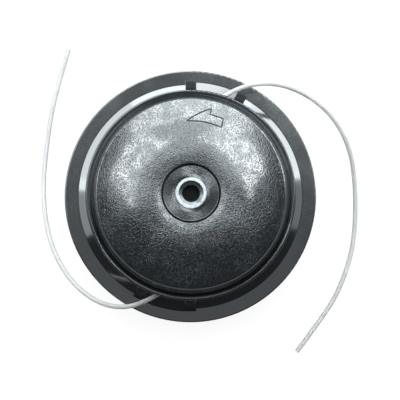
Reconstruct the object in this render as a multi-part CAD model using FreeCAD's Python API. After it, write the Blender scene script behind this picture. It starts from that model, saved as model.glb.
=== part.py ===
import FreeCAD, Part
import math
import os

from FreeCAD import Vector

os.makedirs("parts", exist_ok=True)

# Bump feed trimmer head, millimetres, +Z towards the machine, resting on the bump knob at z = 0.
# Clearances between pieces.
run_gap = 0.3
slide_gap = 0.5
seat_gap = 0.1

# How far a cut or a joined piece runs on past the face it meets, and the middle of a quarter
# round, as a share of its radius from its corner.
over = 1.0
round_mid = 0.29

# Nylon line and its way out of the head.
line_d = 2.4
line_inside = 9.0
line_lead = 11.0
bend_share = 0.45
exit_out = 1.0
exit_lift = 16.8
exit_angle = 74.8
exit_axis_angle = 37.0
eyelet_bore_r = 1.75
eyelet_body_r = 3.0
eyelet_flange_r = 3.8
eyelet_flange_t = 1.0
eyelet_l = 7.4
boss_r = 4.9
boss_l = 12.0

# Bump knob.
knob_r = 26.0
knob_face_r = 17.0
knob_round = 8.0
knob_wall = 3.0
knob_floor = 7.5
knob_cove = 2.5
knob_rib_drop = 3.0
knob_boss_r = 8.0
knob_stand = 17.0
flute_count = 12
flute_r = 3.0
flute_depth = 1.4
flute_top = 11.0
rib_t = 1.6

# Screw that ties the knob to the spool.
screw_r = 2.4
screw_head_r = 4.6
screw_head_h = 2.8
screw_crown_r = 2.8
screw_crown_h = 1.7
screw_socket_r = 2.2
screw_socket_depth = 1.7
screw_pocket_r = 6.0
screw_pocket_depth = 6.2
screw_grip = 7.0
washer_r = 5.6
washer_t = 1.0

# Lower cover with its flared skirt and guard ring.
floor_t = 2.5
collar_t = 2.6
collar_drop = 4.5
ring_w = 6.7
ring_t = 3.5
ring_lift = 4.0
ring_edge = 0.6
ring_under_round = 1.2
gutter = 0.35
gutter_w = 0.35
flare_w = 6.7
flare_rise = 4.2
flare_root = 3.0
cover_wall = 2.2
stiffener_count = 24
apron_start = 65.5
apron_end = 87.0
apron_reach = 1.1
apron_drop = 0.4
post_span = 5.8
post_lean = 5.4
post_shift = 0.4
post_foot_drop = 0.4
hook_depth = 1.3
hook_h = 2.4
hook_slope = 0.5
hook_side_gap = 0.5
hook_drop = 3.4

# Index lugs, the same on the cover, the spool and the housing.
lug_count = 6
lug_span = 12.0
lug_r = 30.0
lug_w = 6.0
lug_h = 2.6
lug_lead = 14.0
lug_slack = 1.0
upper_lug_h = 3.0
upper_lug_angle = 15.0
feed_stroke = 7.0
feed_turn = 30.0

# Spool.
spool_hub_r = 22.0
spool_flange_gap = 1.2
spool_flange_t = 2.0
spool_divider_in = 5.2
spool_divider_t = 1.5
spool_chamber_h = 9.0
spool_floor_t = 3.5
spool_pocket_wall = 2.4
spool_journal_top = 17.5
spool_boss_r = 5.5
spool_boss_h = 5.0
winding_r = 36.0
winding_play = 0.2
winding_bulge = 0.35
line_notch_r = 1.6
line_notch_angle = 45.0

# Upper housing.
skirt_r = 49.0
skirt_wall = 2.6
rim_w = 3.8
rim_t = 2.0
rim_edge = 0.7
rim_ledge = 2.9
rim_dip = 0.6
rim_lift = 22.1
dome_h = 18.2
dome_shoulder_in = 2.0
dome_crown_in = 3.4
dome_ridge_r = 20.0
dome_ridge_rise = 4.2
crater_drop = 0.6
boss_drop = 0.6
groove_r = 14.5
groove_w = 1.0
groove_depth = 2.4
roof_t = 2.9
roof_step = 2.0
hub_r = 12.5
hub_bore_r = 7.0
hub_foot = 15.0
spring_seat_drop = 6.0
spring_room = 3.0
ceiling_rib_depth = 3.0

# Drive nut, a turned steel insert moulded into the housing.
nut_proud = 0.8
nut_collar_r = 7.5
nut_collar_h = 7.0
nut_body_r = 9.6
nut_l = 20.0
nut_bore_r = 4.33
nut_recess_r = 6.0
nut_recess_depth = 3.0
nut_chamfer = 0.45

# Bump spring and its thrust washer.
spring_r = 16.4
spring_wire_r = 0.9
spring_turns = 4.0
thrust_t = 1.2

# Heights and radii that follow from the values above.
floor_z = knob_stand + floor_t
ring_top = floor_z + ring_lift
ring_bottom = ring_top - ring_t
flare_foot = ring_top - gutter
wall_in = skirt_r + slide_gap - seat_gap
wall_out = wall_in + cover_wall
ring_in = wall_out + flare_w
ring_r = ring_in + ring_w
apron_r = ring_in + apron_reach
wall_top = flare_foot + flare_rise
spool_bottom = floor_z + lug_h + run_gap + seat_gap
chamber_1 = spool_bottom + spool_flange_t
divider_z = chamber_1 + spool_chamber_h
chamber_2 = divider_z + spool_divider_t
spool_top_flange = chamber_2 + spool_chamber_h
spool_top = spool_top_flange + spool_flange_t
skirt_in = skirt_r - skirt_wall
spool_r = skirt_in - spool_flange_gap
spool_divider_r = spool_r - spool_divider_in
collar_in = knob_r + slide_gap
exit_r = skirt_r + exit_out
rim_r = skirt_r + rim_w
dome_shoulder_r = skirt_r - dome_shoulder_in
dome_crown_r = skirt_r - dome_crown_in
rim_bottom = floor_z + rim_lift
rim_top = rim_bottom + rim_t
wall_foot_r = rim_r - rim_ledge
crown_z = rim_top + dome_h
ridge_z = crown_z + dome_ridge_rise
crown_slope = 2 * math.atan(dome_ridge_rise / (dome_crown_r - dome_ridge_r))
shoulder_round = (dome_shoulder_r - dome_crown_r) / (1 - math.sin(crown_slope))
shoulder_z = crown_z - shoulder_round * math.cos(crown_slope)
boss_face = ridge_z - crater_drop - boss_drop
nut_top = boss_face + nut_proud
exit_z = floor_z + exit_lift
journal_top = spool_bottom + spool_journal_top
thrust_z = journal_top + seat_gap
spring_foot = thrust_z + thrust_t
ceiling_z = ridge_z - spring_seat_drop
upper_lug_z = spool_top + feed_stroke + run_gap
hub_foot_z = floor_z + hub_foot
housing_foot = floor_z + seat_gap


def point(r, z):
    return Vector(r, 0, z)


def profile(start, *steps):
    """A closed wire in the XZ plane; a step is (r, z), or (r, z, via r, via z) for an arc."""
    here = point(*start)
    first = here
    edges = []
    for step in steps:
        there = point(*step[:2])
        if len(step) == 4:
            edges.append(Part.Arc(here, point(*step[2:]), there).toShape())
        else:
            edges.append(Part.LineSegment(here, there).toShape())
        here = there
    edges.append(Part.LineSegment(here, first).toShape())
    return Part.Wire(edges)


def level_mid(r0, z0, r1, drop):
    """The middle of an arc that is level at (r0, z0) and falls by drop on its way to r1."""
    width = r1 - r0
    radius = (width ** 2 + drop ** 2) / (2 * drop)
    return r0 + width / 2, z0 - radius + math.sqrt(radius ** 2 - width ** 2 / 4)


def turned(start, *steps):
    """The solid that the profile sweeps round the head's axis."""
    return Part.Face(profile(start, *steps)).revolve(Vector(), Vector(0, 0, 1), 360)


def ring(r_in, r_out, z0, z1):
    return turned((r_in, z0), (r_out, z0), (r_out, z1), (r_in, z1))


def disc(r, z0, z1):
    return Part.makeCylinder(r, z1 - z0, point(0, z0))


def hexagon(r, z0, z1):
    corners = [Vector(r * math.cos(k * math.pi / 3), r * math.sin(k * math.pi / 3), z0) for k in range(7)]
    return Part.Face(Part.makePolygon(corners)).extrude(Vector(0, 0, z1 - z0))


def spun(shape, angle):
    copy = shape.copy()
    copy.rotate(Vector(), Vector(0, 0, 1), angle)
    return copy


def sector(r_in, r_out, z0, z1, middle, span):
    """A piece of a ring, span degrees wide about the angle middle."""
    wire = profile((r_in, z0), (r_out, z0), (r_out, z1), (r_in, z1))
    return spun(Part.Face(wire).revolve(Vector(), Vector(0, 0, 1), span), middle - span / 2)


def around(shape, count, first=0.0):
    return [spun(shape, first + k * 360.0 / count) for k in range(count)]


def plate(outline_wire, thickness, angle):
    """A radial plate of the outline, centred on its own plane and turned to the angle."""
    solid = Part.Face(outline_wire).extrude(Vector(0, thickness, 0))
    solid.translate(Vector(0, -thickness / 2, 0))
    return spun(solid, angle)


def on_exit_axis(shape, side):
    """A shape made along +X at the origin, moved to the line's exit on one side of the head."""
    copy = shape.copy()
    copy.rotate(Vector(), Vector(0, 0, 1), exit_axis_angle)
    place = math.radians(exit_angle)
    copy.translate(Vector(exit_r * math.cos(place), exit_r * math.sin(place), exit_z))
    return spun(copy, 180.0 * side)


def save(name, shape):
    clean = shape.removeSplitter()
    assert clean.isValid(), name
    clean.exportStep(f"parts/{name}.step")
    return clean


# Drive nut: a collar that shows at the top, over a hexagon that keys into the moulding.
nut_shoulder = nut_top - nut_collar_h
nut_foot = nut_top - nut_l
nut_blank = hexagon(nut_body_r, nut_foot, nut_shoulder).fuse(disc(nut_collar_r, nut_shoulder, nut_top))
recess_z = nut_top - nut_recess_depth
nut_bore = turned((0, nut_foot - over), (nut_bore_r, nut_foot - over), (nut_bore_r, recess_z - nut_chamfer),
                  (nut_bore_r + nut_chamfer, recess_z), (nut_recess_r, recess_z),
                  (nut_recess_r, nut_top + over), (0, nut_top + over))
save("drive_nut", nut_blank.cut(nut_bore))

# Eyelets: flanged brass ferrules, set askew so that the line leaves the winding on a tangent.
along_x = Vector(1, 0, 0)
eyelet = Part.makeCylinder(eyelet_body_r, eyelet_l, Vector(-eyelet_l, 0, 0), along_x)
eyelet = eyelet.fuse(Part.makeCylinder(eyelet_flange_r, eyelet_flange_t, Vector(), along_x))
bore = Part.makeCylinder(eyelet_bore_r, eyelet_l + eyelet_flange_t, Vector(-eyelet_l, 0, 0), along_x)
mouth = Part.makeCone(eyelet_bore_r, eyelet_bore_r + eyelet_flange_t, eyelet_flange_t, Vector(), along_x)
eyelet = eyelet.cut(bore).cut(mouth)
for side, name in enumerate(("eyelet_right", "eyelet_left")):
    save(name, on_exit_axis(eyelet, side))

# Upper housing: a domed cup with a rim, a skirt that the cover slides over, ribs, lugs and a hub.
# The roof is level at its ridge and runs smoothly into the shoulder.
mid_slope = (crown_slope + math.pi / 2) / 2
shoulder_mid = (dome_shoulder_r - shoulder_round * (1 - math.sin(mid_slope)),
                shoulder_z + shoulder_round * math.cos(mid_slope))
outer = [
    (skirt_r, rim_bottom),
    (rim_r, rim_bottom),
    (rim_r, rim_top - rim_edge),
    (rim_r - rim_edge, rim_top, rim_r - rim_edge * round_mid, rim_top - rim_edge * round_mid),
    (wall_foot_r, rim_top - rim_dip, *level_mid(rim_r - rim_edge, rim_top, wall_foot_r, rim_dip)),
    (dome_shoulder_r, shoulder_z),
    (dome_crown_r, crown_z, *shoulder_mid),
    (dome_ridge_r, ridge_z, *level_mid(dome_ridge_r, ridge_z, dome_crown_r, dome_ridge_rise)),
    (groove_r, ridge_z - crater_drop, *level_mid(dome_ridge_r, ridge_z, groove_r, crater_drop)),
    (groove_r, boss_face - groove_depth),
    (groove_r - groove_w, boss_face - groove_depth),
    (groove_r - groove_w, boss_face),
    (0, boss_face),
    (0, hub_foot_z),
    (hub_r, hub_foot_z),
    (hub_r, ceiling_z),
    (spring_r + spring_room, ceiling_z),
    (spring_r + spring_room + roof_step, ridge_z - roof_t),
    (dome_crown_r - roof_step, crown_z - roof_t),
    (dome_shoulder_r - skirt_wall, shoulder_z - roof_t),
    (skirt_in, upper_lug_z),
    (skirt_in, housing_foot),
]
housing = turned((skirt_r, housing_foot), *outer)
rib_foot = ceiling_z - ceiling_rib_depth
ceiling_rib = plate(profile((hub_r - over, ceiling_z + over), (hub_r - over, rib_foot),
                            (dome_shoulder_r - skirt_wall / 2, rib_foot),
                            (dome_crown_r, crown_z - roof_t / 2), (dome_ridge_r, ridge_z - roof_t / 2),
                            (spring_r + spring_room - over, ceiling_z + over)), rib_t, 0)
spring_way = ring(hub_r, spring_r + spring_room, rib_foot - over, ceiling_z)
upper_lug = sector(lug_r, lug_r + lug_w, upper_lug_z, (ridge_z + crown_z - roof_t) / 2, 0, lug_span)
ribs = [rib.cut(spring_way) for rib in around(ceiling_rib, lug_count, upper_lug_angle)]
housing = housing.fuse(ribs + around(upper_lug, lug_count, upper_lug_angle))
exit_boss = Part.makeCylinder(boss_r, boss_l, Vector(-boss_l, 0, 0), along_x)
exit_hole = Part.makeCylinder(eyelet_body_r, 2 * boss_l, Vector(-boss_l, 0, 0), along_x)
chamber = disc(skirt_in, housing_foot, rim_bottom)
for side in range(2):
    housing = housing.fuse(on_exit_axis(exit_boss, side).cut(chamber))
spot_face = Part.makeCylinder(eyelet_flange_r + seat_gap, boss_l, Vector(), along_x)
for side in range(2):
    housing = housing.cut([on_exit_axis(exit_hole, side), on_exit_axis(spot_face, side)])
hub_bore = disc(hub_bore_r, hub_foot_z - over, nut_foot + over)
housing = housing.cut(hub_bore).cut(disc(nut_bore_r, nut_foot - over, nut_top + over)).cut(nut_blank)
post_angles = [apron_start - post_span / 2 + post_shift, apron_end + post_span / 2]
post_angles += [angle + 180.0 for angle in post_angles]
hook_top = rim_bottom - hook_drop
for angle in post_angles:
    housing = housing.cut(sector(skirt_r - hook_depth - run_gap, skirt_r + over, hook_top - hook_h - run_gap,
                                 hook_top + run_gap, angle, post_span + 2 * hook_side_gap))
save("upper_housing", housing)

# Lower cover: floor and collar for the knob, wall round the skirt, flared skirt and guard ring.
# Between the latch posts the flare reaches further out, as an apron under the line.
cover = turned((collar_in, knob_stand - collar_drop), (collar_in + collar_t, knob_stand - collar_drop),
               (collar_in + collar_t, knob_stand), (wall_out, knob_stand), (wall_out, wall_top - flare_root),
               (ring_in, ring_bottom), (ring_r - ring_under_round, ring_bottom),
               (ring_r, ring_bottom + ring_under_round, ring_r - ring_under_round * round_mid,
                ring_bottom + ring_under_round * round_mid),
               (ring_r, ring_top - ring_edge),
               (ring_r - ring_edge, ring_top, ring_r - ring_edge * round_mid,
                ring_top - ring_edge * round_mid),
               (ring_in, ring_top), (ring_in, flare_foot), (ring_in - gutter_w, flare_foot),
               (wall_out, wall_top),
               (wall_in, wall_top), (wall_in, floor_z), (collar_in, floor_z))
stiffener = plate(profile((wall_out - over, ring_bottom), (ring_in + over, ring_bottom),
                          (ring_in + over, ring_bottom + over), (wall_out - over, wall_top - over)), rib_t, 0)
apron_span = apron_end - apron_start
apron_mid = (apron_start + apron_end) / 2
exit_way = sector(wall_out, apron_r, ring_bottom - over, wall_top + over, apron_mid, apron_span)
apron = profile((wall_out - over, wall_top - flare_root), (apron_r, ring_bottom),
                (apron_r, ring_top - apron_drop), (wall_out - over, wall_top))
apron_solid = Part.Face(apron).revolve(Vector(), Vector(0, 0, 1), apron_span)
post_top = rim_bottom - run_gap - seat_gap
post = profile((wall_in, floor_z), (wall_out, knob_stand), (apron_r, ring_bottom),
               (apron_r, ring_top - post_foot_drop),
               (apron_r - post_lean, post_top), (wall_in, post_top), (wall_in, hook_top),
               (wall_in - hook_depth, hook_top - hook_slope),
               (wall_in - hook_depth, hook_top - hook_h + hook_slope),
               (wall_in, hook_top - hook_h))
post_solid = Part.Face(post).revolve(Vector(), Vector(0, 0, 1), post_span)
posts = [spun(post_solid, angle - post_span / 2) for angle in post_angles]
lower_lug = sector(lug_r, lug_r + lug_w, floor_z - over, floor_z + lug_h, 0, lug_span)
cover = cover.fuse(around(stiffener, stiffener_count, 360.0 / stiffener_count / 2))
for side in range(2):
    cover = cover.cut(spun(exit_way, 180.0 * side)).fuse(spun(apron_solid, apron_start + 180.0 * side))
cover = cover.fuse(posts + around(lower_lug, lug_count))
save("lower_cover", cover)

# Spool: two line chambers, a journal on the housing's hub, a spring pocket and lugs at both ends.
spool = turned((0, spool_bottom), (spool_r, spool_bottom), (spool_r, chamber_1), (spool_hub_r, chamber_1),
               (spool_hub_r, divider_z), (spool_divider_r, divider_z), (spool_divider_r, chamber_2),
               (spool_hub_r, chamber_2), (spool_hub_r, spool_top_flange), (spool_r, spool_top_flange),
               (spool_r, spool_top), (spool_hub_r - spool_pocket_wall, spool_top),
               (spool_hub_r - spool_pocket_wall, journal_top), (hub_r + slide_gap, journal_top),
               (hub_r + slide_gap, spool_bottom + spool_floor_t), (0, spool_bottom + spool_floor_t))
spool = spool.fuse(disc(spool_boss_r, spool_bottom + over, spool_bottom + spool_floor_t + spool_boss_h))
spool_lug = sector(lug_r, lug_r + lug_w, floor_z + run_gap, spool_bottom + over, 0, lug_span)
spool_top_lug = sector(lug_r, lug_r + lug_w, spool_top - over, spool_top + upper_lug_h, 0, lug_span)
lower_offset = lug_span + lug_lead
upper_offset = upper_lug_angle + lug_span + feed_turn + lug_slack
spool = spool.fuse(around(spool_lug, lug_count, lower_offset) + around(spool_top_lug, lug_count, upper_offset))
for flange_z in (spool_bottom, spool_top_flange):
    for side in range(2):
        notch = Part.makeCylinder(line_notch_r, spool_flange_t + 2 * over, point(spool_r, flange_z - over))
        spool = spool.cut(spun(notch, line_notch_angle + 180.0 * side))
spool = spool.cut(disc(screw_r, spool_bottom - over, spool_bottom + screw_grip))
save("spool", spool)

# Windings: the turns of line in each chamber, as one ridged roll.
for name, foot in (("winding_lower", chamber_1), ("winding_upper", chamber_2)):
    low = foot + winding_play
    turns = int((spool_chamber_h - 2 * winding_play) / line_d)
    pitch = (spool_chamber_h - 2 * winding_play) / turns
    bulge_r = winding_r + line_d * winding_bulge
    steps = [(winding_r, low + (k + 1) * pitch, bulge_r, low + (k + 0.5) * pitch) for k in range(turns)]
    save(name, turned((spool_hub_r, low), (winding_r, low), *steps, (spool_hub_r, low + turns * pitch)))

# Bump knob: a fluted cup with a boss for its screw.
knob_in = knob_r - knob_wall
knob = turned((0, 0), (knob_face_r, 0),
              (knob_r, knob_round, knob_r - (knob_r - knob_face_r) * round_mid, knob_round * round_mid),
              (knob_r, spool_bottom), (knob_in, spool_bottom), (knob_in, knob_floor + knob_cove),
              (knob_face_r, knob_floor), (knob_boss_r, knob_floor), (knob_boss_r, spool_bottom),
              (0, spool_bottom))
flute = Part.makeCylinder(flute_r, flute_top + over, point(knob_r + flute_r - flute_depth, -over))
flute = flute.fuse(Part.makeSphere(flute_r, point(knob_r + flute_r - flute_depth, flute_top)))
knob = knob.cut(around(flute, flute_count, 180.0 / flute_count))
rib_top = spool_bottom - knob_rib_drop
knob_rib = plate(profile((knob_boss_r - over, knob_floor - over), (knob_face_r, knob_floor - over),
                         (knob_in + over, knob_floor + knob_cove), (knob_in + over, rib_top),
                         (knob_boss_r - over, rib_top)), rib_t, 0)
knob = knob.fuse(around(knob_rib, lug_count))
knob = knob.cut(disc(screw_pocket_r, -over, screw_pocket_depth))
knob = knob.cut(disc(screw_r + run_gap, 0, spool_bottom + over))
save("bump_knob", knob)

# Knob screw and its washer, in the knob's pocket.
seat = screw_pocket_depth
save("knob_washer", ring(screw_r + seat_gap, washer_r, seat - washer_t, seat))
head_z = seat - washer_t
crown_w = screw_head_r - screw_crown_r
screw = turned((0, head_z - screw_head_h), (screw_crown_r, head_z - screw_head_h),
               (screw_head_r, head_z - screw_head_h + screw_crown_h, screw_head_r - crown_w * round_mid,
                head_z - screw_head_h + screw_crown_h * round_mid),
               (screw_head_r, head_z), (screw_r, head_z), (screw_r, spool_bottom + screw_grip),
               (0, spool_bottom + screw_grip))
socket = hexagon(screw_socket_r, head_z - screw_head_h - over, head_z - screw_head_h + screw_socket_depth)
save("knob_screw", screw.cut(socket))

# Thrust washer and bump spring, between the spool's pocket and the housing's ceiling.
pocket_r = spool_hub_r - spool_pocket_wall
save("thrust_washer", ring(hub_r + slide_gap, pocket_r - run_gap, thrust_z, spring_foot))
coil_low = spring_foot + spring_wire_r + seat_gap
coil_rise = ceiling_z - spring_wire_r - seat_gap - coil_low
helix = Part.makeHelix(coil_rise / spring_turns, coil_rise, spring_r)
helix.translate(point(0, coil_low))
section = Part.Wire(Part.makeCircle(spring_wire_r, point(spring_r, coil_low), Vector(0, 1, 0)))
save("bump_spring", Part.Wire(helix.Edges).makePipeShell([section], True, True))

# Line tails: each leaves its eyelet straight, passes over the guard ring and comes to rest on the ground.
# These are the points after the two on the eyelet's own axis.
tail_points = {
    "line_tail_right": [(43.0, 58.5, 32.0), (64.0, 47.5, 24.5), (80.5, 28.0, 15.0), (88.5, 2.5, 6.0),
                        (87.0, -25.0, 1.6), (78.5, -50.5, 1.4), (68.0, -67.0, 1.4), (56.8, -81.9, 1.4)],
    "line_tail_left": [(-42.0, -57.5, 32.0), (-61.0, -45.5, 24.5), (-74.0, -24.0, 14.0), (-78.5, 3.0, 5.0),
                       (-76.5, 30.0, 1.6), (-70.5, 55.5, 1.4), (-65.0, 79.7, 1.4)],
}


def exit_spot(reach, side):
    """The point of an exit's axis that far outside the eyelet's seat."""
    return on_exit_axis(Part.Vertex(reach, 0, 0), side).Point


def cord_path(spots):
    """Straight runs joined by tangent arcs, each as large as its two runs allow."""
    here = spots[0]
    edges = []
    radii = []
    for before, corner, after in zip(spots, spots[1:], spots[2:]):
        back = (before - corner).normalize()
        ahead = (after - corner).normalize()
        turn = math.pi - back.getAngle(ahead)
        reach = bend_share * min((before - corner).Length, (after - corner).Length)
        radius = reach / math.tan(turn / 2)
        start = corner + back * reach
        end = corner + ahead * reach
        inward = (back + ahead).normalize()
        middle = corner + inward * (radius / math.cos(turn / 2) - radius)
        edges.append(Part.LineSegment(here, start).toShape())
        edges.append(Part.Arc(start, middle, end).toShape())
        here = end
        radii.append(radius)
    edges.append(Part.LineSegment(here, spots[-1]).toShape())
    return Part.Wire(edges), radii


for side, (name, points) in enumerate(tail_points.items()):
    start = exit_spot(-line_inside, side)
    lead = exit_spot(line_lead, side)
    path, radii = cord_path([start, lead] + [Vector(*p) for p in points])
    section = Part.Wire(Part.makeCircle(line_d / 2, start, lead - start))
    tube = path.makePipeShell([section], True, False)
    tube = save(name, tube)
    plain = math.pi * line_d ** 2 / 4 * path.Length
    print(name, "length", round(path.Length, 1), "volume share", round(tube.Volume / plain, 4))
    print("radii", [round(r, 1) for r in radii])
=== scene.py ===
import math

import bpy
from mathutils import Matrix, Vector


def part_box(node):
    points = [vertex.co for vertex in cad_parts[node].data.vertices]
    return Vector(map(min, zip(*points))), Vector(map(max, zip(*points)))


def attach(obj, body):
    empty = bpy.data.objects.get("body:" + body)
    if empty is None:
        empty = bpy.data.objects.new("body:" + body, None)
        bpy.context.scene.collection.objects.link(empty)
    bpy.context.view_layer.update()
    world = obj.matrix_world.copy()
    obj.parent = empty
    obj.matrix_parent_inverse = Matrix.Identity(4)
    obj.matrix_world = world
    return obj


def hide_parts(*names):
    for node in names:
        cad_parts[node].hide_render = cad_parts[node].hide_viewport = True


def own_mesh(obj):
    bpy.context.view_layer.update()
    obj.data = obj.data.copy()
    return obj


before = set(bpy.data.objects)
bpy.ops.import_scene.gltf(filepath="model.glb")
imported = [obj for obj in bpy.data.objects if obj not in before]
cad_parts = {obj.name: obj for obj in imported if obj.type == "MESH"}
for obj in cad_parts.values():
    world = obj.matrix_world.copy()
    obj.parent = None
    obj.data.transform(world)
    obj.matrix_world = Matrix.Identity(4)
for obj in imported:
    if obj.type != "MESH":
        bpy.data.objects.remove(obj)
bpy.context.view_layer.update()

# Drive nut: a turned steel insert with bright zinc, moulded into the housing by its hexagon.
# Its collar shows at the top, with a pilot recess and a fine left-hand thread for the shaft.
MM = 0.001
TURN = 2 * math.pi
NUT_SEGMENTS = 96
NUT_COLLAR_R = 7.5 * MM
NUT_HEX_R = 9.6 * MM
NUT_COLLAR_H = 7.0 * MM
NUT_RECESS_R = 6.0 * MM
NUT_RECESS_DEPTH = 3.0 * MM
NUT_EDGE = 0.15 * MM
NUT_CONE_H = 1.0 * MM
NUT_LEAD_R = 4.55 * MM
NUT_LEAD_H = 0.8 * MM
THREAD_MINOR_R = 4.33 * MM
THREAD_DEPTH = 0.65 * MM
THREAD_PITCH = 1.25 * MM
THREAD_STEPS = 8
# Painted shade: the zinc is darkened below a height near the collar's top, where the recess lies in shade.
RECESS_SHADE_TONE = 0.3
RECESS_SHADE_EDGE = 0.4 * MM
RECESS_SHADE_DROP = 0.6 * MM
TONE_SPAN = (0.3, 0.7)
PLATING_PATCH = 2.5 * MM
TURNING_PITCH = 0.22 * MM
TURNING_DEPTH = 0.0015 * MM
ROUGH_DULL = 1.3
ROUGH_BRIGHT = 0.8


class Tree:
    """Places and joins shader nodes in one tree."""

    def __init__(self, node_tree):
        self.tree = node_tree
        self.nodes = node_tree.nodes

    def put(self, socket, value):
        if isinstance(value, bpy.types.NodeSocket):
            self.tree.links.new(value, socket)
        else:
            socket.default_value = value

    def add(self, kind, values=None, **settings):
        node = self.nodes.new(kind)
        for key, value in settings.items():
            setattr(node, key, value)
        for key, value in (values or {}).items():
            self.put(node.inputs[key], value)
        return node

    def math(self, operation, *inputs):
        return self.add("ShaderNodeMath", dict(enumerate(inputs)), operation=operation).outputs[0]

    def ramp(self, value, low, high, to_low=0.0, to_high=1.0):
        values = {"Value": value, "From Min": low, "From Max": high, "To Min": to_low, "To Max": to_high}
        return self.add("ShaderNodeMapRange", values, interpolation_type="SMOOTHSTEP").outputs["Result"]

    def mix(self, factor, dark, light):
        node = self.add("ShaderNodeMix", data_type="RGBA")
        for index, value in ((0, factor), (6, dark), (7, light)):
            self.put(node.inputs[index], value)
        return node.outputs[2]

    def group(self, name, **values):
        node = self.add("ShaderNodeGroup", node_tree=bpy.data.node_groups[name])
        for key, value in values.items():
            self.put(node.inputs[key], value)
        return node.outputs

    def bump(self, height, distance, normal=None):
        node = self.add("ShaderNodeBump", {"Height": height, "Distance": distance})
        if normal:
            self.put(node.inputs["Normal"], normal)
        return node.outputs[0]


def node_group(name, inputs, outputs):
    """An empty shader group with those values in and out, and the sockets of its two ends."""
    group = bpy.data.node_groups.new(name, "ShaderNodeTree")
    for socket, default in inputs.items():
        made = group.interface.new_socket(socket, in_out="INPUT", socket_type="NodeSocketFloat")
        made.default_value = default
    for socket in outputs:
        group.interface.new_socket(socket, in_out="OUTPUT", socket_type="NodeSocketFloat")
    tree = Tree(group)
    return tree, tree.add("NodeGroupInput").outputs, tree.add("NodeGroupOutput").inputs


def material(name, **constants):
    """A Principled material, its constants on the shader's own sockets."""
    made = bpy.data.materials.new(name)
    made.use_nodes = True
    tree = Tree(made.node_tree)
    shader = tree.nodes["Principled BSDF"].inputs
    for key, value in constants.items():
        shader[key.replace("_", " ")].default_value = value
    return made, tree, shader


def piece(name, verts, faces, made, body, node=None, sharp=40):
    """A mesh piece that rides on a body and may stand for a node of the frame."""
    mesh = bpy.data.meshes.new(name)
    mesh.from_pydata(verts, [], faces)
    mesh.shade_smooth()
    mesh.set_sharp_from_angle(angle=math.radians(sharp))
    mesh.materials.append(made)
    thing = bpy.data.objects.new(name, mesh)
    bpy.context.collection.objects.link(thing)
    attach(thing, body)
    if node:
        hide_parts(node)
    return thing


def dress(node, made):
    """Give a solid of the frame its material."""
    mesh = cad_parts[node].data
    mesh.materials.clear()
    mesh.materials.append(made)


def grid_faces(rows, around, closed_rows=False):
    """Quads between rows of points that each run once around."""
    faces = []
    for i in range(rows if closed_rows else rows - 1):
        low = i * around
        high = (i + 1) % rows * around
        for k in range(around):
            n = (k + 1) % around
            faces.append((low + k, low + n, high + n, high + k))
    return faces


# Polar place: distance from the head's axis, angle about it and height.
g, _, g_out = node_group("polar_place", {}, ("Radius", "Angle", "Height"))
spot = g.add("ShaderNodeSeparateXYZ", {0: g.add("ShaderNodeTexCoord").outputs["Object"]}).outputs
square = g.math("ADD", g.math("MULTIPLY", spot["X"], spot["X"]), g.math("MULTIPLY", spot["Y"], spot["Y"]))
g.put(g_out["Radius"], g.math("SQRT", square))
g.put(g_out["Angle"], g.math("ARCTAN2", spot["Y"], spot["X"]))
g.put(g_out["Height"], spot["Z"])

# Slow tone: soft patches, as plating, melt flow and handling leave them.
g, g_in, g_out = node_group("slow_tone", {"Patch": 14 * MM}, ("Tone",))
where = g.add("ShaderNodeTexCoord").outputs["Object"]
noise = g.add("ShaderNodeTexNoise", {"Vector": where, "Scale": g.math("DIVIDE", 1.0, g_in["Patch"]),
                                     "Detail": 3.0, "Roughness": 0.6})
g.put(g_out["Tone"], g.ramp(noise.outputs[0], *TONE_SPAN))


def turned_metal(name, dull, bright, rough, shaded_below=0.0):
    """Machined metal with fine turning rings, darkened below a height by painted shade."""
    made, tree, shader = material(name, Metallic=1.0)
    tone = tree.group("slow_tone", Patch=PLATING_PATCH)["Tone"]
    polar = tree.group("polar_place")
    unshaded = tree.ramp(polar["Height"], shaded_below - RECESS_SHADE_EDGE, shaded_below, RECESS_SHADE_TONE, 1.0)
    tree.put(shader["Base Color"], tree.mix(unshaded, (0, 0, 0, 1), tree.mix(tone, dull, bright)))
    tree.put(shader["Roughness"], tree.ramp(tone, 0.0, 1.0, rough * ROUGH_DULL, rough * ROUGH_BRIGHT))
    rings = tree.math("SINE", tree.math("MULTIPLY", polar["Radius"], TURN / TURNING_PITCH))
    tree.put(shader["Normal"], tree.bump(rings, TURNING_DEPTH))
    return made


nut_low, nut_high = (corner[2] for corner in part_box("drive_nut"))
# The nut's zinc is darkened with painted shade from a little under its collar's top downwards.
zinc = turned_metal("bright_zinc", dull=(0.62, 0.71, 0.735, 1), bright=(0.80, 0.88, 0.90, 1),
                    rough=0.32, shaded_below=nut_high - RECESS_SHADE_DROP)
nut_shoulder = nut_high - NUT_COLLAR_H
recess_floor = nut_high - NUT_RECESS_DEPTH
thread_top = recess_floor - NUT_EDGE - NUT_LEAD_H
thread_rows = round((thread_top - nut_low) / THREAD_PITCH * THREAD_STEPS)


def round_r(radius):
    return lambda angle, z: radius


def hexagon_r(angle, z):
    """Radius of the hexagon at an angle, with a corner at zero."""
    sixth = math.pi / 3
    return NUT_HEX_R * math.cos(sixth / 2) / math.cos(angle % sixth - sixth / 2)


def thread_r(angle, z):
    """Radius of the left-hand thread's flanks, between its minor radius and its root."""
    phase = ((z - nut_low) / THREAD_PITCH + angle / TURN) % 1.0
    return THREAD_MINOR_R + THREAD_DEPTH * (1 - abs(2 * phase - 1))


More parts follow.
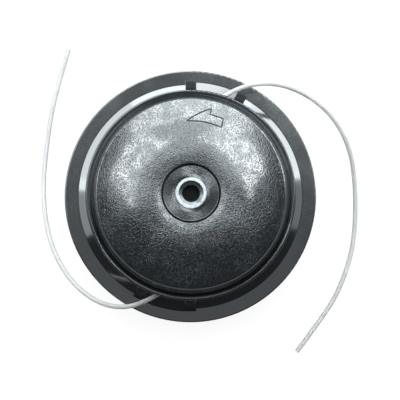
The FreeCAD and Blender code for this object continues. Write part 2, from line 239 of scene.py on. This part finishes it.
nut_rows = [
    (hexagon_r, nut_low), (hexagon_r, nut_shoulder), (round_r(NUT_COLLAR_R), nut_shoulder),
    (round_r(NUT_COLLAR_R), nut_high - NUT_EDGE), (round_r(NUT_COLLAR_R - NUT_EDGE), nut_high),
    (round_r(NUT_RECESS_R + NUT_EDGE), nut_high), (round_r(NUT_RECESS_R), nut_high - NUT_EDGE),
    (round_r(NUT_RECESS_R), recess_floor + NUT_CONE_H), (round_r(NUT_LEAD_R), recess_floor),
    (round_r(THREAD_MINOR_R), recess_floor - NUT_EDGE), (round_r(THREAD_MINOR_R), thread_top),
]
thread_drop = (thread_top - nut_low) / thread_rows
nut_rows += [(thread_r, thread_top - thread_drop * k) for k in range(thread_rows + 1)]
verts = []
for radius_at, z in nut_rows:
    for k in range(NUT_SEGMENTS):
        angle = TURN * k / NUT_SEGMENTS
        r = radius_at(angle, z)
        verts.append((r * math.cos(angle), r * math.sin(angle), z))
piece("drive_insert", verts, grid_faces(len(nut_rows), NUT_SEGMENTS, True), zinc, "head",
      "drive_nut")

# Upper housing: a domed cup of glass filled black nylon, injection moulded round the drive nut.
# Its mould was spark eroded, so the dome has a fine pitted grain that catches the light, and the
# ribs under the roof show through as faint radial sink marks.
NYLON_BLACK = (0.009, 0.011, 0.013, 1)
NYLON_DUSTED = (0.075, 0.081, 0.087, 1)
NYLON_SHEEN = (0.88, 0.96, 1.0, 1)
NYLON_IOR = 1.67
GRAIN_PITCH = 0.7 * MM
PIT_SHARE = 0.5
DUST_HEIGHTS = (0.45, 0.85)
DUST_TONES = (0.4, 1.0)
SKIN_HEIGHTS = (0.5, 0.95)
RIDGE_GLOSS = 0.05
WIPED_PATCH = 7 * MM
WIPED_TONES = (0.4, 1.3)
TOOTH_HEIGHTS = (0.4, 1.0)
TOOTH_ROUGH = (0.4, -0.2)
ROUGH_TONES = (0.85, 1.15)
SINK_COUNT = 6
SINK_TURN = math.radians(15)
SINK_START = (15.0 * MM, 25.5 * MM)
SINK_END = (34.5 * MM, 46.0 * MM)
BOSS_R = 13.4 * MM
SWELLING_R = 20.0 * MM
SWELLING = 2.0
CROWN_FROM = 16.0 * MM
CROWN_TO = 36.0 * MM
CROWN = 4.0
BOSS_WAVES = 3
BOSS_WAVE = 2.0
BOSS_WAVE_TURN = math.radians(5)
BOSS_FACE = (6.4 * MM, 9.6 * MM)
BOSS_GRAIN = 0.45
BOSS_GLOSS = 0.8
BOSS_EDGE = 0.2 * MM
HOLLOW_GLOSS = 0.3
HOLLOW_W = 7 * MM
GROOVE = (15.2 * MM, 64.3 * MM)
SATIN_GRAIN = 0.05
SATIN_EDGE = 0.8 * MM

# Spark grain: rounded pits of about one pitch, with a finer tooth on them.
g, g_in, g_out = node_group("spark_grain", {"Pitch": GRAIN_PITCH}, ("Height",))
where = g.add("ShaderNodeTexCoord").outputs["Object"]
often = g.math("DIVIDE", 1.0, g_in["Pitch"])
noise = g.add("ShaderNodeTexNoise", {"Vector": where, "Scale": often, "Detail": 2.0, "Roughness": 0.6})
cells = g.add("ShaderNodeTexVoronoi", {"Vector": where, "Scale": often}, feature="SMOOTH_F1")
cells.inputs["Smoothness"].default_value = 0.5
pits = g.math("MULTIPLY", cells.outputs["Distance"], PIT_SHARE)
g.put(g_out["Height"], g.math("ADD", pits, noise.outputs[0]))

# Sink marks: shallow radial waves in the roof that fade towards the boss and the shoulder, a low
# swelling and a wider crown round the boss, and three hollows in the boss's face.
g, g_in, g_out = node_group("sink_marks", {"Count": SINK_COUNT, "Turn": SINK_TURN}, ("Height",))
polar = g.group("polar_place")
wave = g.math("COSINE", g.math("MULTIPLY", g.math("SUBTRACT", polar["Angle"], g_in["Turn"]), g_in["Count"]))
fade = g.math("MULTIPLY", g.ramp(polar["Radius"], *SINK_START),
              g.ramp(polar["Radius"], *SINK_END, 1.0, 0.0))
swelling = g.math("POWER", g.ramp(polar["Radius"], BOSS_R, SWELLING_R, 1.0, 0.0), 2.0)
boss_turn = g.math("MULTIPLY", g.math("SUBTRACT", polar["Angle"], BOSS_WAVE_TURN), BOSS_WAVES)
boss_fade = g.math("MULTIPLY", g.ramp(polar["Radius"], *BOSS_FACE),
                   g.math("LESS_THAN", polar["Radius"], BOSS_R))
hollows = g.math("MULTIPLY", g.math("MULTIPLY", g.math("COSINE", boss_turn), boss_fade), BOSS_WAVE)
round_boss = g.math("MULTIPLY_ADD", swelling, SWELLING, hollows)
crown = g.ramp(polar["Radius"], CROWN_FROM, CROWN_TO, 1.0, 0.0)
round_boss = g.math("MULTIPLY_ADD", crown, CROWN, round_boss)
g.put(g_out["Height"], g.math("MULTIPLY_ADD", wave, fade, round_boss))


def dusted_black(tree, tone, height, grained=1.0):
    """The nylon's black, paler in the pits of its grain, where dust has settled."""
    dust = tree.math("MULTIPLY", tree.ramp(height, *DUST_HEIGHTS, 1.0, 0.0), grained)
    dust = tree.math("MULTIPLY", dust, tree.ramp(tone, 0.0, 1.0, *DUST_TONES))
    return tree.mix(dust, NYLON_BLACK, NYLON_DUSTED)


def nylon(name, grain_depth, rough, sink_depth=0.0, grained_from=0.0, grained_to=1.0, satin_rough=0.2,
          satin_gloss=0.65, skin_rough=0.13, groove=(0.0, 0.0)):
    """Black moulded nylon with a glossy skin in the pits of its grain, rubbed off the ridges between.

    The mould was less grained inside one radius and plain outside another, so there it is satin. In
    a groove, within a radius and below a height, the nylon is dull with dust.
    """
    made, tree, shader = material(name, IOR=NYLON_IOR, Specular_IOR_Level=1.0, Specular_Tint=NYLON_SHEEN,
                                  Coat_IOR=2.25, Coat_Roughness=skin_rough)
    tone = tree.group("slow_tone")["Tone"]
    height = tree.group("spark_grain")["Height"]
    polar = tree.group("polar_place")
    away = polar["Radius"]
    on_dome = tree.ramp(away, grained_to - SATIN_EDGE, grained_to + SATIN_EDGE, 1.0, SATIN_GRAIN)
    off_boss = tree.ramp(away, grained_from - BOSS_EDGE, grained_from + BOSS_EDGE, BOSS_GRAIN, 1.0)
    grained = tree.math("MULTIPLY", on_dome, off_boss)
    tree.put(shader["Base Color"], dusted_black(tree, tone, height, grained))
    dusty = tree.math("MULTIPLY", tree.math("LESS_THAN", away, groove[0]),
                      tree.math("LESS_THAN", polar["Height"], groove[1]))
    wiped = tree.ramp(tree.group("slow_tone", Patch=WIPED_PATCH)["Tone"], 0.0, 1.0, *WIPED_TONES)
    skin = tree.mix(grained, (satin_gloss, satin_gloss, satin_gloss, 1),
                    tree.math("MULTIPLY", wiped, tree.ramp(height, *SKIN_HEIGHTS, 1.0, RIDGE_GLOSS)))
    boss_skin = tree.math("MULTIPLY", tree.math("LESS_THAN", away, grained_from), BOSS_GLOSS)
    round_boss = tree.ramp(away, grained_from, grained_from + HOLLOW_W, HOLLOW_GLOSS, 1.0)
    round_boss = tree.math("MAXIMUM", boss_skin, round_boss)
    tree.put(shader["Coat Weight"], tree.math("MULTIPLY", tree.math("MULTIPLY", skin, round_boss),
                                              tree.math("SUBTRACT", 1.0, dusty)))
    tooth = tree.math("MULTIPLY_ADD", grained, tree.ramp(height, *TOOTH_HEIGHTS, *TOOTH_ROUGH), 1.0)
    roughness = tree.math("MULTIPLY", tree.ramp(tone, 0.0, 1.0, *ROUGH_TONES), tooth)
    roughness = tree.math("MULTIPLY", roughness, tree.ramp(grained, 0.0, 1.0, satin_rough, rough))
    tree.put(shader["Roughness"], tree.math("MAXIMUM", roughness, dusty))
    height = tree.math("MULTIPLY", height, grained)
    normal = None
    if sink_depth:
        normal = tree.bump(tree.group("sink_marks")["Height"], sink_depth)
    tree.put(shader["Normal"], tree.bump(height, grain_depth, normal))
    return made


DOME_EDGE_R = 46.2 * MM
housing_nylon = nylon("housing_nylon", grain_depth=0.13 * MM, rough=0.2, sink_depth=0.16 * MM,
                      grained_from=BOSS_R, grained_to=DOME_EDGE_R, satin_rough=0.17, satin_gloss=0.03,
                      groove=GROOVE)
dress("upper_housing", housing_nylon)

# Turning arrow: a raised outline on the dome that shows which way the head spins.
# It was cut into the mould, so it is of the dome's own nylon, and the dust on it makes it dull.
DOME_RIDGE_R = 20.0 * MM
DOME_RIDGE_Z = 66.0 * MM
DOME_CROWN_R = 45.6 * MM
DOME_DROP = 4.2 * MM
ARROW_IN_R = 35.1 * MM
ARROW_OUT_R = 39.4 * MM
ARROW_BARB_R = 42.4 * MM
ARROW_TIP = 93.6
ARROW_TAIL = 65.4
ARROW_TAIL_OUT = 66.7
ARROW_NOTCH = 76.4
ARROW_WIRE_R = 0.32 * MM
ARROW_SIDES = 10
ARROW_STEP = 2.0
ARROW_LEAST_STEPS = 4
ARROW_GRAIN = 0.02 * MM
dome_round = ((DOME_CROWN_R - DOME_RIDGE_R) ** 2 + DOME_DROP ** 2) / (2 * DOME_DROP)


def dome_point(r, degrees):
    """The point of the dome's face at that radius and angle."""
    angle = math.radians(degrees)
    z = DOME_RIDGE_Z - dome_round + math.sqrt(dome_round ** 2 - (r - DOME_RIDGE_R) ** 2)
    return Vector((r * math.cos(angle), r * math.sin(angle), z))


def dome_run(start, end):
    """Points over the dome from one (radius, angle) to just before another, in small steps."""
    count = max(ARROW_LEAST_STEPS, round(abs(end[1] - start[1]) / ARROW_STEP))
    shares = [k / count for k in range(count)]
    return [dome_point(start[0] + (end[0] - start[0]) * s, start[1] + (end[1] - start[1]) * s)
            for s in shares]


def tube(path, radius, sides, closed=False):
    """Points and faces of a round tube along a path that is nowhere upright."""
    verts = []
    last = len(path) - 1
    for i, here in enumerate(path):
        before = path[i - 1] if closed or i else here
        after = path[(i + 1) % len(path)] if closed or i < last else here
        ahead = (after - before).normalized()
        side = ahead.cross(Vector((0, 0, 1))).normalized()
        up = side.cross(ahead)
        for k in range(sides):
            angle = TURN * k / sides
            verts.append(here + side * radius * math.cos(angle) + up * radius * math.sin(angle))
    faces = grid_faces(len(path), sides, closed)
    if not closed:
        faces += [tuple(range(sides))[::-1], tuple(range(last * sides, (last + 1) * sides))]
    return verts, faces


corners = [(ARROW_IN_R, ARROW_TIP), (ARROW_IN_R, ARROW_TAIL), (ARROW_OUT_R, ARROW_TAIL_OUT),
           (ARROW_OUT_R, ARROW_NOTCH), (ARROW_BARB_R, ARROW_NOTCH)]
outline = []
for start, end in zip(corners, corners[1:] + corners[:1]):
    outline += dome_run(start, end)
verts, faces = tube(outline, ARROW_WIRE_R, ARROW_SIDES, closed=True)
arrow_nylon, tree, shader = material("arrow_nylon", IOR=NYLON_IOR, Specular_IOR_Level=1.0,
                                     Specular_Tint=NYLON_SHEEN, Roughness=1.0)
height = tree.group("spark_grain")["Height"]
tree.put(shader["Base Color"], dusted_black(tree, tree.group("slow_tone")["Tone"], height))
tree.put(shader["Normal"], tree.bump(height, ARROW_GRAIN))
piece("turning_arrow", verts, faces, arrow_nylon, "head")

# Eyelets: flanged brass ferrules, turned and pressed into the skirt at the two line exits.
# They keep the running line from cutting into the nylon.
brass = turned_metal("turned_brass", dull=(0.62, 0.42, 0.15, 1), bright=(0.85, 0.64, 0.27, 1), rough=0.24)
for node in ("eyelet_right", "eyelet_left"):
    dress(node, brass)

# Bump spring: a compression spring of oiled steel wire with closed ends, between the housing's
# ceiling and a washer on the spool. It shortens when the knob is bumped on the ground.
SPRING_R = 16.4 * MM
SPRING_WIRE_R = 0.9 * MM
SPRING_DEAD_TURNS = 0.8
SPRING_LIVE_TURNS = 3.2
SPRING_SEGMENTS = 48
SPRING_SIDES = 12
SPRING_CLEAR = 0.05 * MM
steel = turned_metal("plain_steel", dull=(0.42, 0.42, 0.43, 1), bright=(0.60, 0.60, 0.61, 1), rough=0.32)
spring_low, spring_high = (corner[2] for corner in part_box("bump_spring"))
coil_low = spring_low + SPRING_WIRE_R
coil_high = spring_high - SPRING_WIRE_R
dead_rise = SPRING_DEAD_TURNS * (2 * SPRING_WIRE_R + SPRING_CLEAR)
live_pitch = (coil_high - coil_low - 2 * dead_rise) / SPRING_LIVE_TURNS
spring_turns = SPRING_LIVE_TURNS + 2 * SPRING_DEAD_TURNS


def coil_z(turn):
    """Height of the spring's wire after that many turns."""
    if turn < SPRING_DEAD_TURNS:
        return coil_low + dead_rise * turn / SPRING_DEAD_TURNS
    if turn > spring_turns - SPRING_DEAD_TURNS:
        return coil_high - dead_rise * (spring_turns - turn) / SPRING_DEAD_TURNS
    return coil_low + dead_rise + live_pitch * (turn - SPRING_DEAD_TURNS)


def helix(radius, turns, height_at, segments):
    """Points round the head's axis, at the height given for each count of turns."""
    count = round(turns * segments)
    spots = []
    for k in range(count + 1):
        turn = turns * k / count
        angle = TURN * turn
        spots.append(Vector((radius * math.cos(angle), radius * math.sin(angle), height_at(turn))))
    return spots


verts, faces = tube(helix(SPRING_R, spring_turns, coil_z, SPRING_SEGMENTS), SPRING_WIRE_R,
                    SPRING_SIDES)
spring = piece("coil_spring", verts, faces, steel, "head", "bump_spring")
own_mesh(spring)
dress("thrust_washer", steel)

# Spool: a black nylon moulding with two line chambers and index lugs at both ends, which slides
# and turns inside the housing and is tied to the bump knob by a screw.
dress("spool", nylon("spool_nylon", grain_depth=0.03 * MM, rough=0.34))

# Wound line: extruded 2.4 mm nylon, white and translucent, wound by hand in close layers into both
# chambers of the spool.
LINE_D = 2.4 * MM
LINE_GREY = (0.75, 0.76, 0.76, 1)
LINE_WHITE = (0.81, 0.82, 0.82, 1)
LINE_ROUGH = (0.45, 0.55)
LINE_PATCH = 20 * MM
HUB_R = 22.0 * MM
WINDING_LAYERS = 6
WINDING_SEGMENTS = 60
WINDING_SIDES = 8
line_nylon, tree, shader = material("line_nylon", Transmission_Weight=0.35, IOR=1.53,
                                    Subsurface_Weight=0.8, Subsurface_Radius=(1, 1, 1),
                                    Subsurface_Scale=1.2 * MM)
tone = tree.group("slow_tone", Patch=LINE_PATCH)["Tone"]
tree.put(shader["Base Color"], tree.mix(tone, LINE_GREY, LINE_WHITE))
tree.put(shader["Roughness"], tree.ramp(tone, 0.0, 1.0, *LINE_ROUGH))
for node in ("winding_lower", "winding_upper"):
    low, high = map(Vector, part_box(node))
    layer_turns = (high.z - low.z) / LINE_D - 1
    layer_step = (high.x - HUB_R - LINE_D) / (WINDING_LAYERS - 1)
    verts = []
    faces = []
    for layer in range(WINDING_LAYERS):
        climb = (high.z - low.z - LINE_D) / layer_turns * (-1) ** layer
        foot = low.z + LINE_D / 2 if climb > 0 else high.z - LINE_D / 2
        route = helix(HUB_R + LINE_D / 2 + layer * layer_step, layer_turns, lambda t: foot + climb * t,
                      WINDING_SEGMENTS)
        more_verts, more_faces = tube(route, LINE_D / 2, WINDING_SIDES)
        faces += [tuple(len(verts) + v for v in face) for face in more_faces]
        verts += more_verts
    piece(node + "_line", verts, faces, line_nylon, "feed", node)

# Line tails: the two free ends, which keep the curl of the spool, pass over the guard ring and
# come to rest on the ground. They were cut off square.
TAILS = {
    "right_tail": ("line_tail_right", 0.213,
                   [(5.9, 42.8, 36.3), (21.9, 54.9, 36.3), (43.0, 58.5, 32.0), (62.0, 51.8, 26.0),
                    (75.5, 40.5, 20.3), (84.5, 24.5, 13.5), (88.1, 2.5, 6.0), (87.6, -26.0, 1.6),
                    (79.0, -51.0, 1.4), (68.0, -67.0, 1.4), (56.8, -81.9, 1.4)]),
    "left_tail": ("line_tail_left", 0.196,
                  [(-5.9, -42.8, 36.3), (-21.9, -54.9, 36.3), (-42.0, -57.5, 32.0), (-61.0, -45.5, 24.5),
                   (-74.0, -24.0, 14.0), (-78.5, 3.0, 5.0), (-76.5, 30.0, 1.6), (-72.5, 55.0, 1.4),
                   (-65.0, 79.6, 1.4)]),
}
for name, (node, length, points) in TAILS.items():
    curve = bpy.data.curves.new(name, "CURVE")
    curve.dimensions = "3D"
    curve.bevel_depth = LINE_D / 2
    curve.bevel_resolution = 6
    curve.use_fill_caps = True
    spline = curve.splines.new("NURBS")
    spline.points.add(len(points) - 1)
    for knot, (x, y, z) in zip(spline.points, points):
        knot.co = (x * MM, y * MM, z * MM, 1)
    spline.order_u = 3
    spline.use_endpoint_u = True
    spline.resolution_u = 16
    curve.materials.append(line_nylon)
    tail = bpy.data.objects.new(name, curve)
    bpy.context.collection.objects.link(tail)
    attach(tail, "head")
    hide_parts(node)

# Lower cover: a second nylon moulding, clipped round the housing's skirt by four latch posts.
# Its flared skirt and the guard ring outside it come satin from a polished mould.
cover_nylon = nylon("cover_nylon", grain_depth=0.02 * MM, rough=0.17, grained_to=0.0, satin_rough=0.14,
                    skin_rough=0.1)
dress("lower_cover", cover_nylon)

# Latch pads: the leaning outer faces and the tops of the four latch posts, of the cover's nylon, ribbed so
# that fingers grip them when the cover is opened. Their near black, dull finish, which hardly reflects, is
# painted shade on the posts.
PAD_FOOT = (59.1 * MM, 24.2 * MM)
PAD_HEAD = (54.2 * MM, 40.6 * MM)
PAD_SPAN = 5.3
PAD_COLUMNS = 7
PAD_ROWS = 57
PAD_RIBS = 7
PAD_SUNK = 0.15 * MM
PAD_PROUD = 0.12 * MM
PAD_RIB_H = 0.22 * MM
PAD_CAP = ((53.85 * MM, 54.15 * MM), (53.0 * MM, 53.0 * MM))
PAD_CAP_Z = (41.05 * MM, 41.35 * MM)
PAD_ANGLES = (63.0, 89.9, 243.0, 269.9)
PAD_SHADE_BLACK = (0.006, 0.007, 0.008, 1)
PAD_SHADE_GREY = (0.013, 0.014, 0.016, 1)
PAD_ROUGH = (0.55, 0.75)
PAD_PATCH = 3 * MM
PAD_GRAIN = 0.03 * MM
# The pads' black and grey are painted shade on the latch posts.
pad_shade_nylon, tree, shader = material("pad_shade_nylon", IOR=1.5, Specular_IOR_Level=0.25)
tone = tree.group("slow_tone", Patch=PAD_PATCH)["Tone"]
tree.put(shader["Base Color"], tree.mix(tone, PAD_SHADE_BLACK, PAD_SHADE_GREY))
tree.put(shader["Roughness"], tree.ramp(tone, 0.0, 1.0, *PAD_ROUGH))
tree.put(shader["Normal"], tree.bump(tree.group("spark_grain")["Height"], PAD_GRAIN))
pad_run = Vector(PAD_HEAD) - Vector(PAD_FOOT)
pad_out = Vector((pad_run.y, -pad_run.x)).normalized()
pad_turns = [math.radians(PAD_SPAN * (k / (PAD_COLUMNS - 1) - 0.5)) for k in range(PAD_COLUMNS)]
pad_rows = []
for row in range(PAD_ROWS):
    share = row / (PAD_ROWS - 1)
    rib = PAD_RIB_H * (0.5 - 0.5 * math.cos(TURN * PAD_RIBS * share))
    face_at = Vector(PAD_FOOT) + pad_run * share
    pad_rows.append((face_at + pad_out * (PAD_PROUD + rib), face_at - pad_out * PAD_SUNK))
for low_r, high_r in PAD_CAP:
    pad_rows.append(((high_r, PAD_CAP_Z[1]), (low_r, PAD_CAP_Z[0])))
verts = []
faces = []
for degrees in PAD_ANGLES:
    first = len(verts)
    for front, back in pad_rows:
        for (r, z), turns in ((front, pad_turns), (back, pad_turns[::-1])):
            for turn in turns:
                angle = math.radians(degrees) + turn
                verts.append((r * math.cos(angle), r * math.sin(angle), z))
    around = 2 * PAD_COLUMNS
    faces += [tuple(first + v for v in face) for face in grid_faces(len(pad_rows), around)]
    faces += [tuple(range(first, first + around))[::-1], tuple(range(len(verts) - around, len(verts)))]
piece("latch_pads_shade", verts, faces, pad_shade_nylon, "head")

# Bump knob: the fluted cup that the head is tapped on, moulded of nylon and held to the spool by a
# zinc plated screw and washer.
dress("bump_knob", nylon("knob_nylon", grain_depth=0.05 * MM, rough=0.36))
for node in ("knob_washer", "knob_screw"):
    dress(node, turned_metal(node + "_zinc", dull=(0.52, 0.57, 0.58, 1), bright=(0.70, 0.75, 0.76, 1),
                             rough=0.3))

# Stage: a plain white floor under soft studio light, seen straight down from the machine's side.
# The floor is clear from below, so that the underside can be looked at.
FLOOR_HALF = 3.0
FLOOR_GLOW = 0.9
FLOOR_MIRRORED = 0.2
LAMP_TINT = (0.95, 0.985, 1.0)
SKY_GLOW = 0.045
FOCAL_PX = 1244.0
IMAGE_PX = 400.0
SENSOR_MM = 36.0
EYE = Vector((-4.4, -23.8, 665.6)) * MM
TIP_X = math.radians(-1.95)
TIP_Y = math.radians(0.83)
AIM = Vector((0, 0, 0.045))

floor_white, tree, shader = material("floor_white", Base_Color=(0.16, 0.16, 0.16, 1), Roughness=0.9)
seen = tree.add("ShaderNodeLightPath").outputs
mirrored = tree.math("MULTIPLY", seen["Is Glossy Ray"], FLOOR_MIRRORED)
through = tree.math("ADD", seen["Is Transmission Ray"], seen["Transmission Depth"])
through = tree.math("MINIMUM", through, 1.0)
looked_at = tree.math("MAXIMUM", seen["Is Camera Ray"], tree.math("MAXIMUM", mirrored, through))
tree.put(shader["Emission Color"], tree.mix(looked_at, (0, 0, 0, 1), (1, 1, 1, 1)))
shader["Emission Strength"].default_value = FLOOR_GLOW
from_below = tree.add("ShaderNodeNewGeometry").outputs["Backfacing"]
tree.put(shader["Alpha"], tree.math("SUBTRACT", 1.0, from_below))
floor_mesh = bpy.data.meshes.new("floor")
floor_corners = [(-FLOOR_HALF, -FLOOR_HALF, 0), (FLOOR_HALF, -FLOOR_HALF, 0), (FLOOR_HALF, FLOOR_HALF, 0),
                 (-FLOOR_HALF, FLOOR_HALF, 0)]
floor_mesh.from_pydata(floor_corners, [], [(0, 1, 2, 3)])
floor_mesh.materials.append(floor_white)
floor = bpy.data.objects.new("floor", floor_mesh)
bpy.context.collection.objects.link(floor)


def softbox(name, bearing, elevation, distance, width, height, radiance):
    """A studio softbox of that brightness, at a bearing from +X and an elevation, facing the head."""
    lamp = bpy.data.lights.new(name, "AREA")
    lamp.shape = "RECTANGLE"
    lamp.size = width
    lamp.size_y = height
    lamp.energy = radiance * math.pi * width * height
    lamp.color = LAMP_TINT
    holder = bpy.data.objects.new(name, lamp)
    turn = math.radians(bearing)
    rise = math.radians(elevation)
    away = Vector((math.cos(turn) * math.cos(rise), math.sin(turn) * math.cos(rise), math.sin(rise)))
    holder.location = AIM + away * distance
    holder.rotation_euler = (-away).to_track_quat("-Z", "Y").to_euler()
    holder.visible_camera = False
    bpy.context.collection.objects.link(holder)


softbox("key_box", bearing=90, elevation=48, distance=1.15, width=1.1, height=0.56, radiance=4.1)
softbox("left_card", bearing=146, elevation=68, distance=2.0, width=0.75, height=0.72, radiance=4.8)
softbox("right_card", bearing=44, elevation=68, distance=2.0, width=0.76, height=0.72, radiance=5.5)
softbox("back_strip", bearing=90, elevation=18, distance=0.95, width=1.1, height=0.42, radiance=4.6)
softbox("left_strip", bearing=148, elevation=17, distance=0.95, width=0.92, height=0.40, radiance=3.2)
softbox("left_fill", bearing=184, elevation=17, distance=0.95, width=0.50, height=0.40, radiance=1.0)
softbox("right_strip", bearing=38, elevation=17, distance=0.95, width=0.92, height=0.40, radiance=3.9)
softbox("right_fill", bearing=0, elevation=17, distance=0.95, width=0.50, height=0.40, radiance=0.6)
softbox("roof_card", bearing=90, elevation=82, distance=1.3, width=0.4, height=0.8, radiance=0.26)

world = bpy.data.worlds.new("studio")
bpy.context.scene.world = world
world.use_nodes = True
sky = Tree(world.node_tree)
seen = sky.add("ShaderNodeLightPath").outputs
looked_at = sky.math("MAXIMUM", seen["Is Camera Ray"], seen["Is Transmission Ray"])
sky.put(sky.nodes["Background"].inputs["Strength"], sky.ramp(looked_at, 0.0, 1.0, SKY_GLOW, 1.0))
sky.nodes["Background"].inputs["Color"].default_value = (1, 1, 1, 1)

across = Vector((math.cos(TIP_Y), 0, math.sin(TIP_Y)))
back = Vector((-math.sin(TIP_Y) * math.cos(TIP_X), math.sin(TIP_X), math.cos(TIP_Y) * math.cos(TIP_X)))
camera = bpy.data.cameras.new("photo_camera")
camera.sensor_fit = "HORIZONTAL"
camera.sensor_width = SENSOR_MM
camera.lens = SENSOR_MM * FOCAL_PX / IMAGE_PX
viewer = bpy.data.objects.new("photo_camera", camera)
turned = Matrix((across, back.cross(across), back)).transposed()
viewer.matrix_world = Matrix.Translation(EYE) @ turned.to_4x4()
bpy.context.collection.objects.link(viewer)
bpy.context.scene.camera = viewer
bpy.context.scene.view_settings.view_transform = "Standard"
